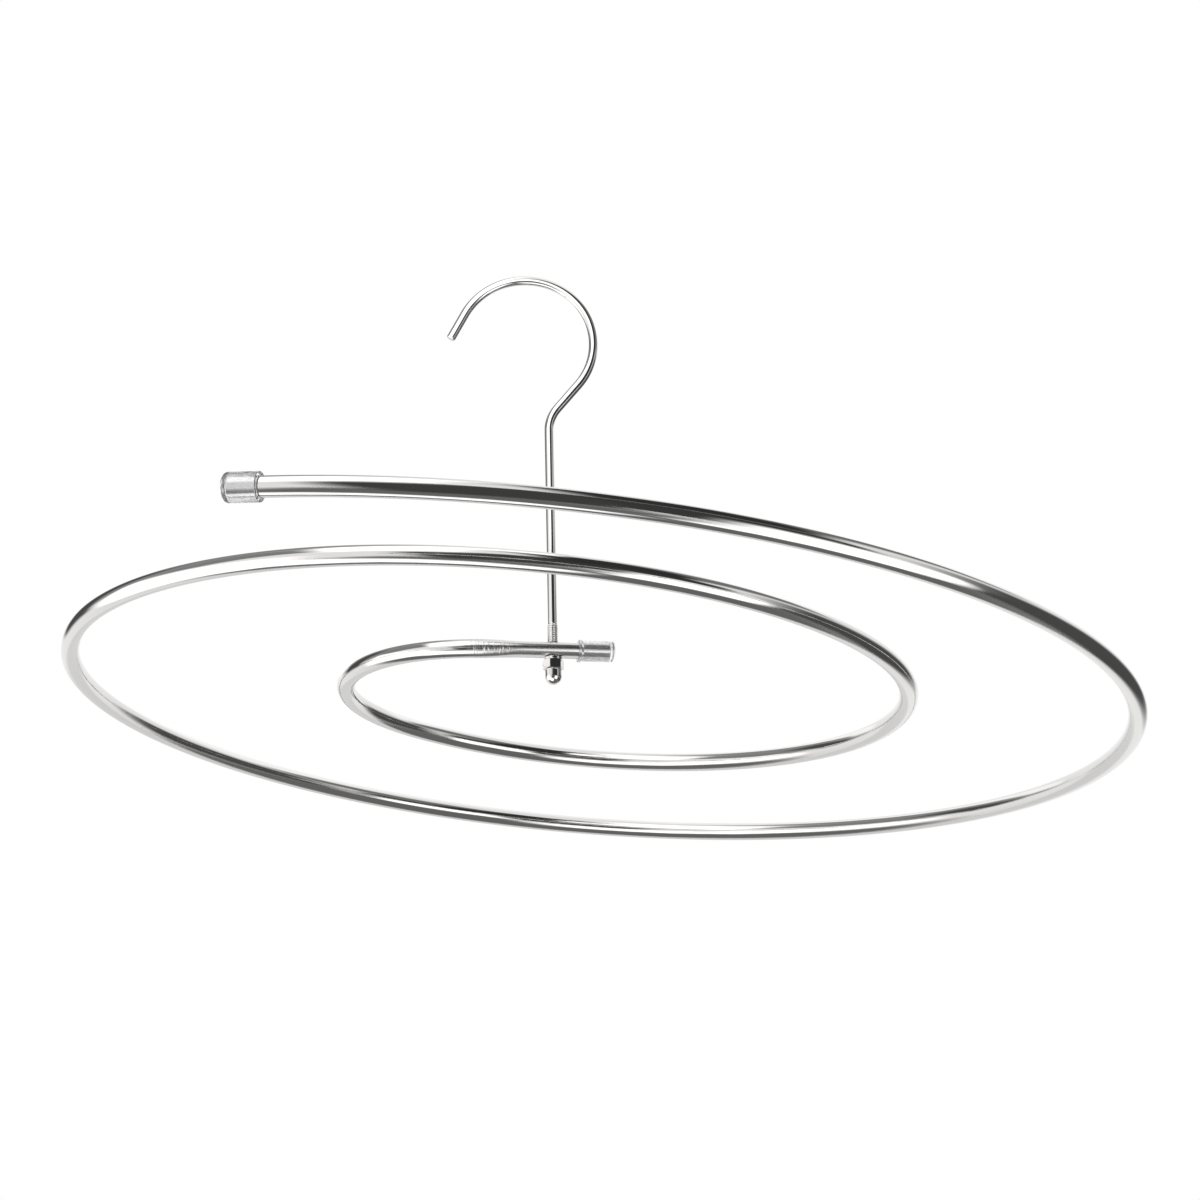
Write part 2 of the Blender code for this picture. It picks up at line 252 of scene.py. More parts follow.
parts = add_node(tree, "ShaderNodeSeparateXYZ", {0: place.outputs["Vector"]})
near_edge = add_node(
    tree,
    "ShaderNodeMapRange",
    {"Value": parts.outputs["X"], "From Min": SCUFFS_FADE_IN[0], "From Max": SCUFFS_FADE_IN[1]},
    interpolation_type="SMOOTHSTEP",
)
far_edge = add_node(
    tree,
    "ShaderNodeMapRange",
    {
        "Value": parts.outputs["X"],
        "From Min": SCUFFS_FADE_OUT[0],
        "From Max": SCUFFS_FADE_OUT[1],
        "To Min": 1.0,
        "To Max": 0.0,
    },
    interpolation_type="SMOOTHSTEP",
)
gripped = add_node(
    tree, "ShaderNodeMath", {0: near_edge.outputs[0], 1: far_edge.outputs[0]}, operation="MULTIPLY"
)
scuff_place = add_node(
    tree,
    "ShaderNodeMapping",
    {"Vector": place.outputs["Vector"], "Rotation": (0.0, SCUFF_SLANT, 0.0), "Scale": SCUFF_SCALE},
)
scuffs = add_node(
    tree, "ShaderNodeTexNoise", {"Vector": scuff_place.outputs[0], "Scale": 1.0, "Detail": 2.0}
)
cut = add_node(
    tree, "ShaderNodeMapRange", {"Value": scuffs.outputs["Fac"], "From Min": 0.5, "From Max": 0.62}
)
scuffed = add_node(
    tree, "ShaderNodeMath", {0: gripped.outputs[0], 1: cut.outputs[0]}, operation="MULTIPLY"
)
dull = add_node(
    tree,
    "ShaderNodeMath",
    {0: far_edge.outputs[0], 1: PRESS_DULLING, 2: rough.outputs[0]},
    operation="MULTIPLY_ADD",
)
tree.links.new(dull.outputs[0], steel.inputs["Roughness"])
long_waves = add_node(
    tree, "ShaderNodeBump", {"Height": wander.outputs["Fac"], "Strength": 0.05, "Distance": 0.001}
)
polish = add_node(
    tree,
    "ShaderNodeBump",
    {
        "Height": streaks.outputs["Fac"],
        "Strength": 0.12,
        "Distance": 0.0002,
        "Normal": long_waves.outputs[0],
    },
)
scratched = add_node(
    tree,
    "ShaderNodeBump",
    {"Height": scuffed.outputs[0], "Strength": 0.5, "Distance": 0.0001, "Normal": polish.outputs[0]},
)
tree.links.new(scratched.outputs[0], steel.inputs["Normal"])
print(tube_steel.name, "has", len(tree.nodes), "nodes")

# %% [markdown]
# The hook is drawn wire, brighter and smoother than the tube. The nut is turned, plated and tumbled, so it is
# the smoothest of the three and slightly uneven all over. Both read object coordinates, because their marks
# have no need to follow a bent path.

# %% Bright wire and plated nut
def bright_metal(name, colour, smooth, worn, scale, depth):
    material = bpy.data.materials.new(name)
    material.use_nodes = True
    nodes = material.node_tree
    shader = nodes.nodes["Principled BSDF"]
    shader.inputs["Base Color"].default_value = linear(colour)
    shader.inputs["Metallic"].default_value = 1.0
    where = add_node(nodes, "ShaderNodeTexCoord")
    grain = add_node(
        nodes, "ShaderNodeTexNoise", {"Vector": where.outputs["Object"], "Scale": scale, "Detail": 4.0}
    )
    share = add_node(
        nodes,
        "ShaderNodeMapRange",
        {"Value": grain.outputs["Fac"], "From Min": 0.3, "From Max": 0.7, "To Min": smooth, "To Max": worn},
    )
    nodes.links.new(share.outputs[0], shader.inputs["Roughness"])
    bump = add_node(
        nodes, "ShaderNodeBump", {"Height": grain.outputs["Fac"], "Strength": depth, "Distance": 0.0002}
    )
    nodes.links.new(bump.outputs[0], shader.inputs["Normal"])
    return material


wire_steel = bright_metal(
    "bright_drawn_stainless_wire", "EAE9E8", smooth=0.03, worn=0.09, scale=900.0, depth=0.04
)
nut_steel = bright_metal(
    "tumbled_nickel_plated_nut", "DEDCDA", smooth=0.02, worn=0.07, scale=600.0, depth=0.05
)

# %% [markdown]
# ## The tube's path
#
# On the real rack one straight tube is pressed at one end, bent over a former and then wound outward. Its
# centre line is three stretches: a straight one through the hub, a bend and a spiral whose radius grows evenly.
# The spiral leans a little and sinks as it goes round. The same rule draws it here, at one-degree steps.

# %% Sizes of the path
INNER_HEADING = radians(9.6)
INNER_END_REACH = 29.6 * MM
INNER_STRAIGHT = 29.5 * MM
INNER_BEND_PULL = 84.6 * MM
COIL_JOIN_PULL = 86.6 * MM
COIL_CENTRE = Vector((-5.7, 16.5, -8.5)) * MM
COIL_START_RADIUS = 153.1 * MM
COIL_PITCH = 118.0 * MM
COIL_START_ANGLE = radians(116.7)
COIL_SWEEP = radians(587.3)
COIL_TILT = radians(5.8)
COIL_DROP_PER_TURN = 16.2 * MM
COIL_DROP_EASING = 4.0 * MM
OUTER_STRAIGHT = 14.4 * MM
STRAIGHT_STEPS = 40
BEND_STEPS = 80
OUTER_STEPS = 4


# %% Draw the path
def coil_point(angle):
    turns = angle / tau
    radius = COIL_START_RADIUS + COIL_PITCH * turns
    heading = COIL_START_ANGLE - angle
    height = COIL_DROP_EASING * turns * turns - COIL_DROP_PER_TURN * turns
    flat = Vector((radius * cos(heading), radius * sin(heading), height))
    return COIL_CENTRE + Matrix.Rotation(COIL_TILT, 3, "Y") @ flat


def coil_heading(angle):
    small = radians(0.01)
    return (coil_point(angle + small) - coil_point(angle - small)).normalized()


def tube_path():
    heading = Vector((-cos(INNER_HEADING), -sin(INNER_HEADING), 0.0))
    straight = INNER_END_REACH + INNER_STRAIGHT
    points = [heading * (straight * i / STRAIGHT_STEPS - INNER_END_REACH) for i in range(STRAIGHT_STEPS)]
    start, end = heading * INNER_STRAIGHT, coil_point(0.0)
    start_pull = start + heading * INNER_BEND_PULL
    end_pull = end - coil_heading(0.0) * COIL_JOIN_PULL
    for i in range(BEND_STEPS):
        t = i / BEND_STEPS
        s = 1.0 - t
        points.append(s**3 * start + 3 * s * s * t * start_pull + 3 * s * t * t * end_pull + t**3 * end)
    count = ceil(COIL_SWEEP / radians(1.0))
    points += [coil_point(COIL_SWEEP * i / count) for i in range(count + 1)]
    last = coil_heading(COIL_SWEEP)
    coil_end = points[-1]
    points += [coil_end + last * (OUTER_STRAIGHT * i / OUTER_STEPS) for i in range(1, OUTER_STEPS + 1)]
    return [HUB + point for point in points], last


path, outer_heading = tube_path()
length = sum((b - a).length for a, b in zip(path, path[1:]))
print("tube path:", len(path), "points,", round(length, 3), "m")

# %% [markdown]
# ## Sweeping a section along a path
#
# Both the tube and the hook are a round section that follows a line, which is just what Geometry Nodes do well.
# The first part of the two trees is the same: make the line a curve, write down for each of its points how far
# along it lies and where its middle is, and sweep a circle along it. Each point of the skin keeps those values,
# so later nodes can reshape the section knowing where it is.

# %% A tree that sweeps a circle
def new_tree(name, numbers):
    made = bpy.data.node_groups.new(name, "GeometryNodeTree")
    made.interface.new_socket("Path", in_out="INPUT", socket_type="NodeSocketGeometry")
    for label, value in numbers.items():
        kind = "NodeSocketInt" if isinstance(value, int) else "NodeSocketFloat"
        made.interface.new_socket(label, in_out="INPUT", socket_type=kind).default_value = value
    made.interface.new_socket("Finish", in_out="INPUT", socket_type="NodeSocketMaterial")
    made.interface.new_socket("Skin", in_out="OUTPUT", socket_type="NodeSocketGeometry")
    return made, made.nodes.new("NodeGroupInput")


def sweep(tree, given, upright, closed_ends):
    """The skin round the path, with the distance along, the middle and the heading kept on its points."""
    line = add_node(tree, "GeometryNodeMeshToCurve", {0: given.outputs["Path"]})
    line = add_node(tree, "GeometryNodeSetCurveNormal", {0: line}, mode=upright)
    reach = add_node(tree, "GeometryNodeSplineParameter").outputs["Length"]
    position = add_node(tree, "GeometryNodeInputPosition")
    tangent = add_node(tree, "GeometryNodeInputTangent")
    for name, value, kind in (
        ("along", reach, "FLOAT"),
        ("middle", position, "FLOAT_VECTOR"),
        ("heading", tangent, "FLOAT_VECTOR"),
    ):
        line = add_node(
            tree,
            "GeometryNodeStoreNamedAttribute",
            {"Geometry": line, "Name": name, "Value": value},
            data_type=kind,
        )
    circle = add_node(
        tree,
        "GeometryNodeCurvePrimitiveCircle",
        {"Resolution": given.outputs["Sides"], "Radius": given.outputs["Radius"]},
    )
    return add_node(
        tree,
        "GeometryNodeCurveToMesh",
        {"Curve": line, "Profile Curve": circle, "Fill Caps": closed_ends},
    )


def end_tree(tree, given, skin, new_position):
    """Move the skin's points to their new places and end the tree with its finish."""
    formed = add_node(tree, "GeometryNodeSetPosition", {"Geometry": skin, "Position": new_position})
    whole = add_node(tree, "GeometryNodeRealizeInstances", {0: formed})
    finished = add_node(
        tree, "GeometryNodeSetMaterial", {"Geometry": whole, "Material": given.outputs["Finish"]}
    )
    add_node(tree, "NodeGroupOutput", {0: finished})
    print(tree.name, "has", len(tree.nodes), "nodes")


# %% [markdown]
# The tube's own part of the tree presses the inner end. A pressed tube keeps the length round its section, so
# as its height drops its two round halves move apart and leave flats above and below. For each point of the
# skin the nodes find how far it stands from the middle, sideways and upward, make that share smaller and push
# it outward. The amount fades to nothing over the next 21 mm. The same numbers, along, across and up, are kept
# for the steel's streaks.

# %% The tree that makes the tube
tree, given = new_tree(
    "swept_and_pressed_tube",
    {
        "Radius": TUBE_RADIUS,
        "Sides": 48,
        "Pressed radius": PRESSED_RADIUS,
        "Pressed length": 46.6 * MM,
        "Press fade": 21.0 * MM,
    },
)
skin = sweep(tree, given, "Z_UP", False)

# %% Measure each point of the skin
MATH, VECTOR, RANGE = "ShaderNodeMath", "ShaderNodeVectorMath", "ShaderNodeMapRange"
KEPT = "GeometryNodeInputNamedAttribute"

along = add_node(tree, KEPT, {0: "along"}, data_type="FLOAT")
middle = add_node(tree, KEPT, {0: "middle"}, data_type="FLOAT_VECTOR")
heading = add_node(tree, KEPT, {0: "heading"}, data_type="FLOAT_VECTOR")
position = add_node(tree, "GeometryNodeInputPosition")
level = add_node(tree, VECTOR, {0: heading, 1: (0.0, 0.0, 1.0)}, operation="CROSS_PRODUCT")
side = add_node(tree, VECTOR, {0: level}, operation="NORMALIZE")
up = add_node(tree, VECTOR, {0: side, 1: heading}, operation="CROSS_PRODUCT")
stands = add_node(tree, VECTOR, {0: position, 1: middle}, operation="SUBTRACT")
across = add_node(tree, VECTOR, {0: stands, 1: side}, operation="DOT_PRODUCT").outputs["Value"]
lift = add_node(tree, VECTOR, {0: stands, 1: up}, operation="DOT_PRODUCT").outputs["Value"]
place = add_node(tree, "ShaderNodeCombineXYZ", {"X": along, "Y": across, "Z": lift})
skin = add_node(
    tree,
    "GeometryNodeStoreNamedAttribute",
    {"Geometry": skin, "Name": "tube_place", "Value": place},
    data_type="FLOAT_VECTOR",
)

# %% Press the inner end
past = add_node(tree, MATH, {0: along, 1: given.outputs["Pressed length"]}, operation="SUBTRACT")
pressed = add_node(
    tree,
    RANGE,
    {"Value": past, "From Max": given.outputs["Press fade"], "To Min": 1.0, "To Max": 0.0},
    interpolation_type="SMOOTHSTEP",
)
deepest = add_node(
    tree, MATH, {0: given.outputs["Radius"], 1: given.outputs["Pressed radius"]}, operation="SUBTRACT"
)
lost = add_node(tree, MATH, {0: deepest, 1: pressed}, operation="MULTIPLY")
smaller = add_node(tree, MATH, {0: lost, 1: given.outputs["Radius"]}, operation="DIVIDE")
share = add_node(tree, MATH, {0: 1.0, 1: smaller}, operation="SUBTRACT")
apart = add_node(tree, MATH, {0: lost, 1: pi / 2}, operation="MULTIPLY")
which = add_node(tree, MATH, {0: across}, operation="SIGN")
apart = add_node(tree, MATH, {0: apart, 1: which}, operation="MULTIPLY")
across = add_node(tree, MATH, {0: across, 1: share, 2: apart}, operation="MULTIPLY_ADD")
lift = add_node(tree, MATH, {0: lift, 1: share}, operation="MULTIPLY")
sideways = add_node(tree, VECTOR, {0: side, "Scale": across}, operation="SCALE")
upward = add_node(tree, VECTOR, {0: up, "Scale": lift}, operation="SCALE")
from_middle = add_node(tree, VECTOR, {0: sideways, 1: upward}, operation="ADD")
pressed_place = add_node(tree, VECTOR, {0: middle, 1: from_middle}, operation="ADD")
end_tree(tree, given, skin, pressed_place)
tube_tree = tree

# %% [markdown]
# The path goes in as a mesh of points and edges. After the tree come two plain modifiers: Solidify gives the
# skin its 0.6 mm wall, inward, and a Boolean drills the hole for the shank through both flats.

# %% Make the tube
TUBE_WALL = 0.6 * MM
SHANK_HOLE_RADIUS = 3.3 * MM
HOLE_SIDES = 64


def path_object(name, points):
    mesh = bpy.data.meshes.new(name)
    mesh.from_pydata(points, [(i, i + 1) for i in range(len(points) - 1)], [])
    return add_object(name, mesh)


def run_tree(thing, tree, finish):
    nodes = thing.modifiers.new(tree.name, "NODES")
    nodes.node_group = tree
    for item in tree.interface.items_tree:
        if item.in_out == "INPUT" and item.name == "Finish":
            nodes[item.identifier] = finish


def prism(name, sides, radius, low, high, turned=0.0):
    form = bmesh.new()
    bmesh.ops.create_cone(
        form, cap_ends=True, segments=sides, radius1=radius, radius2=radius, depth=high - low
    )
    spot = Matrix.Translation(HUB + UP * (low + high) / 2) @ Matrix.Rotation(turned, 4, "Z")
    bmesh.ops.transform(form, matrix=spot, verts=form.verts)
    mesh = bpy.data.meshes.new(name)
    form.to_mesh(mesh)
    form.free()
    cutter = add_object(name, mesh)
    cutter.hide_render = True
    return cutter


def cut_with(thing, cutter, operation):
    boolean = thing.modifiers.new(operation.capitalize(), "BOOLEAN")
    boolean.operation = operation
    boolean.object = cutter
    boolean.solver = "EXACT"


tube = path_object("tube_path", path)
run_tree(tube, tube_tree, tube_steel)
wall = tube.modifiers.new("Wall", "SOLIDIFY")
wall.thickness = TUBE_WALL
wall.offset = -1.0
wall.use_even_offset = True
hole = prism("shank_hole", HOLE_SIDES, SHANK_HOLE_RADIUS, -2 * TUBE_RADIUS, 2 * TUBE_RADIUS)
cut_with(tube, hole, "DIFFERENCE")
finished_piece(tube, "polished_tube", tube_steel, "coil", ["spiral_tube"])
bpy.data.objects.remove(hole, do_unlink=True)

# %% [markdown]
# ## The wire hook
#
# The hook is one bent wire. It is drawn from its cut tip, over the round hook, down a slanting stretch and
# round a bend onto the shank. The shank's lower end has a rolled M6 thread with a pitch of 1 mm: rolling
# squeezes the wire up between the grooves, so the thread is a little thicker than the wire. The last numbers
# say in how many steps each stretch is drawn; the thread has the most, ten to each turn.

# %% Sizes of the hook
WIRE_RADIUS = 2.5 * MM
HOOK_RADIUS = 37.0 * MM
HOOK_CENTRE = Vector((-HUB.x, 0.0, -HUB.z - HOOK_RADIUS + WIRE_RADIUS))
HOOK_TIP_ANGLE = radians(151.0)
HOOK_TIP_LENGTH = 16.0 * MM
HOOK_LOWER_ANGLE = radians(-40.5)
SHANK_BEND_RADIUS = 19.0 * MM
THREAD_RADIUS = 2.95 * MM
THREAD_ROOT = 2.42 * MM
THREAD_PITCH = 1.0 * MM
THREAD_TOP = 13.9 * MM
TIP_CHAMFER = 0.45 * MM
SHANK_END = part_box("hook")[0].z - HUB.z
TIP_STEPS = 12
ARC_STEPS = 128
SLANT_STEPS = 10
SHANK_BEND_STEPS = 24
SHANK_STEPS = 30
RINGS_PER_TURN = 10
print("shank ends", round(-SHANK_END / MM, 1), "mm below the hub")


# %% Draw the wire's line
def hook_line():
    def on_arc(angle):
        return HOOK_CENTRE + HOOK_RADIUS * Vector((cos(angle), 0.0, sin(angle)))

    tip_heading = Vector((-sin(HOOK_TIP_ANGLE), 0.0, cos(HOOK_TIP_ANGLE)))
    tip = on_arc(HOOK_TIP_ANGLE) + tip_heading * HOOK_TIP_LENGTH
    line = [tip - tip_heading * TIP_CHAMFER * share for share in (0.0, 0.3, 0.65, 1.0, 1.2)]
    line += [tip - tip_heading * HOOK_TIP_LENGTH * i / TIP_STEPS for i in range(1, TIP_STEPS)]
    sweep_angle = HOOK_TIP_ANGLE - HOOK_LOWER_ANGLE
    line += [on_arc(HOOK_TIP_ANGLE - sweep_angle * i / ARC_STEPS) for i in range(ARC_STEPS + 1)]
    slant = Vector((sin(HOOK_LOWER_ANGLE), 0.0, -cos(HOOK_LOWER_ANGLE)))
    leave = on_arc(HOOK_LOWER_ANGLE)
    corner = leave + slant * (-leave.x / slant.x)
    bend = -HOOK_LOWER_ANGLE
    start = corner - slant * (SHANK_BEND_RADIUS * tan(bend / 2))
    line += [leave.lerp(start, i / SLANT_STEPS) for i in range(1, SLANT_STEPS)]
    centre = Vector((SHANK_BEND_RADIUS, 0.0, corner.z - SHANK_BEND_RADIUS * tan(bend / 2)))
    for i in range(SHANK_BEND_STEPS + 1):
        turn = Matrix.Rotation(-bend * i / SHANK_BEND_STEPS, 3, "Y")
        line.append(centre + turn @ (start - centre))
    straight_top = line[-1].z
    thread_start = THREAD_TOP + 2 * THREAD_PITCH
    rings = ceil((thread_start - SHANK_END) / (THREAD_PITCH / RINGS_PER_TURN))
    heights = [straight_top + (thread_start - straight_top) * i / SHANK_STEPS for i in range(1, SHANK_STEPS)]
    heights += [thread_start + (SHANK_END - thread_start) * i / rings for i in range(rings + 1)]
    line += [Vector((0.0, 0.0, height)) for height in heights]
    return [HUB + point for point in line]


wire_line = hook_line()
print("wire line:", len(wire_line), "points")

# %% [markdown]
# The hook's tree sweeps the wire and then changes its radius. Near the cut tip the radius follows the small
# chamfer. Along the thread it rises and falls with a saw of flanks: the height of a point, less its share of a
# turn round the shank, says where it lies between two crests. Because that saw winds with the angle, the
# ridges form a true right-handed helix. The saw counts from 0 in a root to 0.5 on a crest, and both are a
# little flat. The first turn fades in, as the run-out of a rolled thread does.

# %% The tree that makes the wire and its thread
ROOT_FLAT, CREST_FLAT = 0.06, 0.44
RUN_OUT = (-1.2 * MM, 0.8 * MM)
END_CHAMFER_SLOPE = 0.6

tree, given = new_tree(
    "swept_wire_with_rolled_thread",
    {
        "Radius": WIRE_RADIUS,
        "Sides": 40,
        "Crest radius": THREAD_RADIUS,
        "Root radius": THREAD_ROOT,
        "Pitch": THREAD_PITCH,
        "Thread top": HUB.z + THREAD_TOP,
        "Shank end": HUB.z + SHANK_END,
        "Shank x": HUB.x,
        "Tip chamfer": TIP_CHAMFER,
    },
)
skin = sweep(tree, given, "MINIMUM_TWIST", True)
along = add_node(tree, KEPT, {0: "along"}, data_type="FLOAT")
middle = add_node(tree, KEPT, {0: "middle"}, data_type="FLOAT_VECTOR")
position = add_node(tree, "GeometryNodeInputPosition")
stands = add_node(tree, VECTOR, {0: position, 1: middle}, operation="SUBTRACT")
spot = add_node(tree, "ShaderNodeSeparateXYZ", {0: position})
height = spot.outputs["Z"]
from_axis = add_node(tree, MATH, {0: spot.outputs["X"], 1: given.outputs["Shank x"]}, operation="SUBTRACT")
turned = add_node(tree, MATH, {0: spot.outputs["Y"], 1: from_axis}, operation="ARCTAN2")
turns_round = add_node(tree, MATH, {0: turned, 1: tau}, operation="DIVIDE")
turns_up = add_node(tree, MATH, {0: height, 1: given.outputs["Pitch"]}, operation="DIVIDE")
wound = add_node(tree, MATH, {0: turns_up, 1: turns_round}, operation="SUBTRACT")
saw = add_node(tree, MATH, {0: wound, 1: 0.5}, operation="PINGPONG")
flank = add_node(
    tree,
    RANGE,
    {
        "Value": saw,
        "From Min": ROOT_FLAT,
        "From Max": CREST_FLAT,
        "To Min": given.outputs["Root radius"],
        "To Max": given.outputs["Crest radius"],
    },
)

# %% Blend the thread into the wire and chamfer both ends
above = add_node(tree, MATH, {0: height, 1: given.outputs["Thread top"]}, operation="SUBTRACT")
radius = add_node(
    tree,
    RANGE,
    {
        "Value": above,
        "From Min": RUN_OUT[0],
        "From Max": RUN_OUT[1],
        "To Min": flank,
        "To Max": given.outputs["Radius"],
    },
    interpolation_type="SMOOTHSTEP",
)
from_end = add_node(tree, MATH, {0: height, 1: given.outputs["Shank end"]}, operation="SUBTRACT")
end_limit = add_node(
    tree,
    MATH,
    {0: from_end, 1: END_CHAMFER_SLOPE, 2: given.outputs["Root radius"]},
    operation="MULTIPLY_ADD",
)
radius = add_node(tree, MATH, {0: radius, 1: end_limit}, operation="MINIMUM")
from_tip = add_node(tree, MATH, {0: given.outputs["Tip chamfer"], 1: along}, operation="SUBTRACT")
tip_loss = add_node(tree, MATH, {0: from_tip, 1: 0.0}, operation="MAXIMUM")
radius = add_node(tree, MATH, {0: radius, 1: tip_loss}, operation="SUBTRACT")
ratio = add_node(tree, MATH, {0: radius, 1: given.outputs["Radius"]}, operation="DIVIDE")
from_middle = add_node(tree, VECTOR, {0: stands, "Scale": ratio}, operation="SCALE")
threaded_place = add_node(tree, VECTOR, {0: middle, 1: from_middle}, operation="ADD")
end_tree(tree, given, skin, threaded_place)

# %% Make the hook
hook = path_object("wire_line", wire_line)
run_tree(hook, tree, wire_steel)
finished_piece(hook, "wire_hook", wire_steel, "hanger", ["hook"])

# %% [markdown]
# ## Turned pieces
#
# The nut and both caps are round about an axis, so each starts as half of its outline, swept round by a Screw
# modifier. Real edges are never quite sharp, and a small round is what catches the light. One helper therefore
# takes corners, each as radius, height and fillet, and returns the outline with those corners rounded.

# %% Round the corners of an outline
def rounded(corners, steps=6):
    outline = []
    for i, (radius, height, fillet) in enumerate(corners):
        corner = Vector((radius, height))
        if fillet == 0.0 or i in (0, len(corners) - 1):
            outline.append(corner)
            continue
        before = Vector(corners[i - 1][:2]) - corner
        after = Vector(corners[i + 1][:2]) - corner
        reach = min(fillet, before.length * 0.49, after.length * 0.49)
        start, end = corner + before.normalized() * reach, corner + after.normalized() * reach
        for k in range(steps + 1):
            t = k / steps
            outline.append((1 - t) ** 2 * start + 2 * t * (1 - t) * corner + t * t * end)
    return outline


def turned_piece(name, outline, steps):
    thing = path_object(name, [(point.x, 0.0, point.y) for point in outline])
    screw = thing.modifiers.new("Turn", "SCREW")
    screw.steps = steps
    screw.render_steps = steps
    screw.use_merge_vertices = True
    screw.merge_threshold = 0.01 * MM
    return thing


# %% [markdown]
# ## The cap nut
#
# A domed nut is turned from hexagon bar: a short round collar, the hexagon with its corners chamfered at 30
# degrees, a neck and a half ball. The outline is turned as if the hexagon were round, and a six-sided prism
# then cuts the flats, which gives the curved chamfer lines of a real nut. A narrow bevel softens every edge.

# %% Make the cap nut
NUT_TOP = -PRESSED_RADIUS - SEAT_GAP
NUT_APOTHEM = SHANK_HOLE_RADIUS + 1.7 * MM
NUT_CORNER = NUT_APOTHEM / cos(pi / 6)
NUT_COLLAR = NUT_APOTHEM - 0.25 * MM
NUT_NECK = NUT_APOTHEM - 0.6 * MM
HEX_TOP = NUT_TOP - 1.3 * MM
HEX_BOTTOM = HEX_TOP - 5.5 * MM
DOME_TOP = HEX_BOTTOM - 3.4 * MM
NUT_TURN = radians(-17.0)
CHAMFER = tan(radians(30.0))
DOME_STEPS = 24
NUT_STEPS = 96
SOFT_EDGE = 0.12 * MM

corners = [
    (0.0, DOME_TOP, 0.0),
    (SHANK_HOLE_RADIUS, DOME_TOP, 0.0),
    (SHANK_HOLE_RADIUS, NUT_TOP, 0.2 * MM),
    (NUT_COLLAR, NUT_TOP, 0.25 * MM),
    (NUT_COLLAR, HEX_TOP, 0.15 * MM),
    (NUT_CORNER, HEX_TOP - (NUT_CORNER - NUT_COLLAR) * CHAMFER, 0.1 * MM),
    (NUT_CORNER, HEX_BOTTOM + (NUT_CORNER - NUT_NECK) * CHAMFER, 0.1 * MM),
    (NUT_NECK, HEX_BOTTOM, 0.25 * MM),
    (NUT_NECK, DOME_TOP, 0.0),
]
outline = rounded(corners)
for i in range(1, DOME_STEPS + 1):
    angle = pi / 2 * i / DOME_STEPS
    reach = NUT_NECK * cos(angle) if i < DOME_STEPS else 0.0
    outline.append(Vector((reach, DOME_TOP - NUT_NECK * sin(angle))))
nut = turned_piece("nut_outline", outline, NUT_STEPS)
nut.location = HUB
flats = prism("nut_flats", 6, NUT_CORNER, DOME_TOP - 2 * NUT_NECK, NUT_TOP + NUT_NECK, NUT_TURN)
cut_with(nut, flats, "INTERSECT")
soft = nut.modifiers.new("Soft edges", "BEVEL")
soft.width = SOFT_EDGE
soft.segments = 2
soft.limit_method = "ANGLE"
soft.angle_limit = radians(28.0)
bpy.context.view_layer.update()
nut = finished_piece(nut, "domed_nut", nut_steel, "hanger", ["cap_nut"])
bpy.data.objects.remove(flats, do_unlink=True)

# %% [markdown]
# A machined flat mirrors like a piece of looking glass. Smooth shading alone would let the bevels bend that
# image, because each corner of a flat shares its normal with the bevel beside it. Weighted normals give the
# corner to its largest face, so the flats stay flat and only the narrow bevels look round.

# %% Keep the flats flat
level_flats = nut.modifiers.new("Level flats", "WEIGHTED_NORMAL")
level_flats.keep_sharp = True
level_flats.weight = 90

# %% [markdown]
# ## Clear vinyl caps
#
# The caps are dip-moulded soft vinyl: clear, faintly grey, with an uneven skin that bends what is seen through
# it. A mostly transmitting shader with the refractive index of PVC does that, and the rest of it scatters light
# like milk, as plasticised vinyl does. The skin's waves are about 3 mm long, so 320 of them go in a metre. A
# finer noise clouds the skin with a little roughness, as handling does.

# %% Clear soft vinyl
VINYL_CLEARNESS = 0.94
VINYL_IOR = 1.53
WAVE_SCALE = 320.0
CLOUD_SCALE = 700.0

clear_vinyl = bpy.data.materials.new("clear_dip_moulded_vinyl")
clear_vinyl.use_nodes = True
tree = clear_vinyl.node_tree
vinyl = tree.nodes["Principled BSDF"]
vinyl.inputs["Base Color"].default_value = linear("FBFBFC")
vinyl.inputs["Transmission Weight"].default_value = VINYL_CLEARNESS
vinyl.inputs["IOR"].default_value = VINYL_IOR
where = add_node(tree, "ShaderNodeTexCoord")
waves = add_node(
    tree, "ShaderNodeTexNoise", {"Vector": where.outputs["Object"], "Scale": WAVE_SCALE, "Detail": 2.0}
)
clouds = add_node(
    tree, "ShaderNodeTexNoise", {"Vector": where.outputs["Object"], "Scale": CLOUD_SCALE, "Detail": 3.0}
)
cloudy = add_node(
    tree,
    "ShaderNodeMapRange",
    {"Value": clouds.outputs["Fac"], "From Min": 0.35, "From Max": 0.65, "To Min": 0.04, "To Max": 0.2},
)
tree.links.new(cloudy.outputs[0], vinyl.inputs["Roughness"])
uneven = add_node(
    tree, "ShaderNodeBump", {"Height": waves.outputs["Fac"], "Strength": 0.22, "Distance": 0.0006}
)
tree.links.new(uneven.outputs[0], vinyl.inputs["Normal"])

# %% [markdown]
# Each cap is a cup that grips the tube's end. Its outline runs over the closed end, down the outside to the
# mouth, where a small lip is left by the mould, and up inside to the floor. A cap is drawn standing on its
# mouth and then laid along the tube. The inner one has its halves moved apart, as the pressed tube has.

# %% Shape and place the caps
CAP_CLEARANCE = 0.3 * MM
CAP_END_WALL = 2.4 * MM
CAP_STEPS = 64
MOUTH_ROUND = 0.3 * MM
OUTER_GRIP, OUTER_WALL, OUTER_ROUND = OUTER_STRAIGHT, 1.7 * MM, 2.2 * MM
INNER_GRIP, INNER_WALL, INNER_ROUND = 16.2 * MM, 0.8 * MM, 1.0 * MM
INNER_LIP, INNER_LIP_LENGTH = 0.5 * MM, 1.4 * MM
PRESSED_SPREAD = pi * (TUBE_RADIUS - PRESSED_RADIUS) / 2


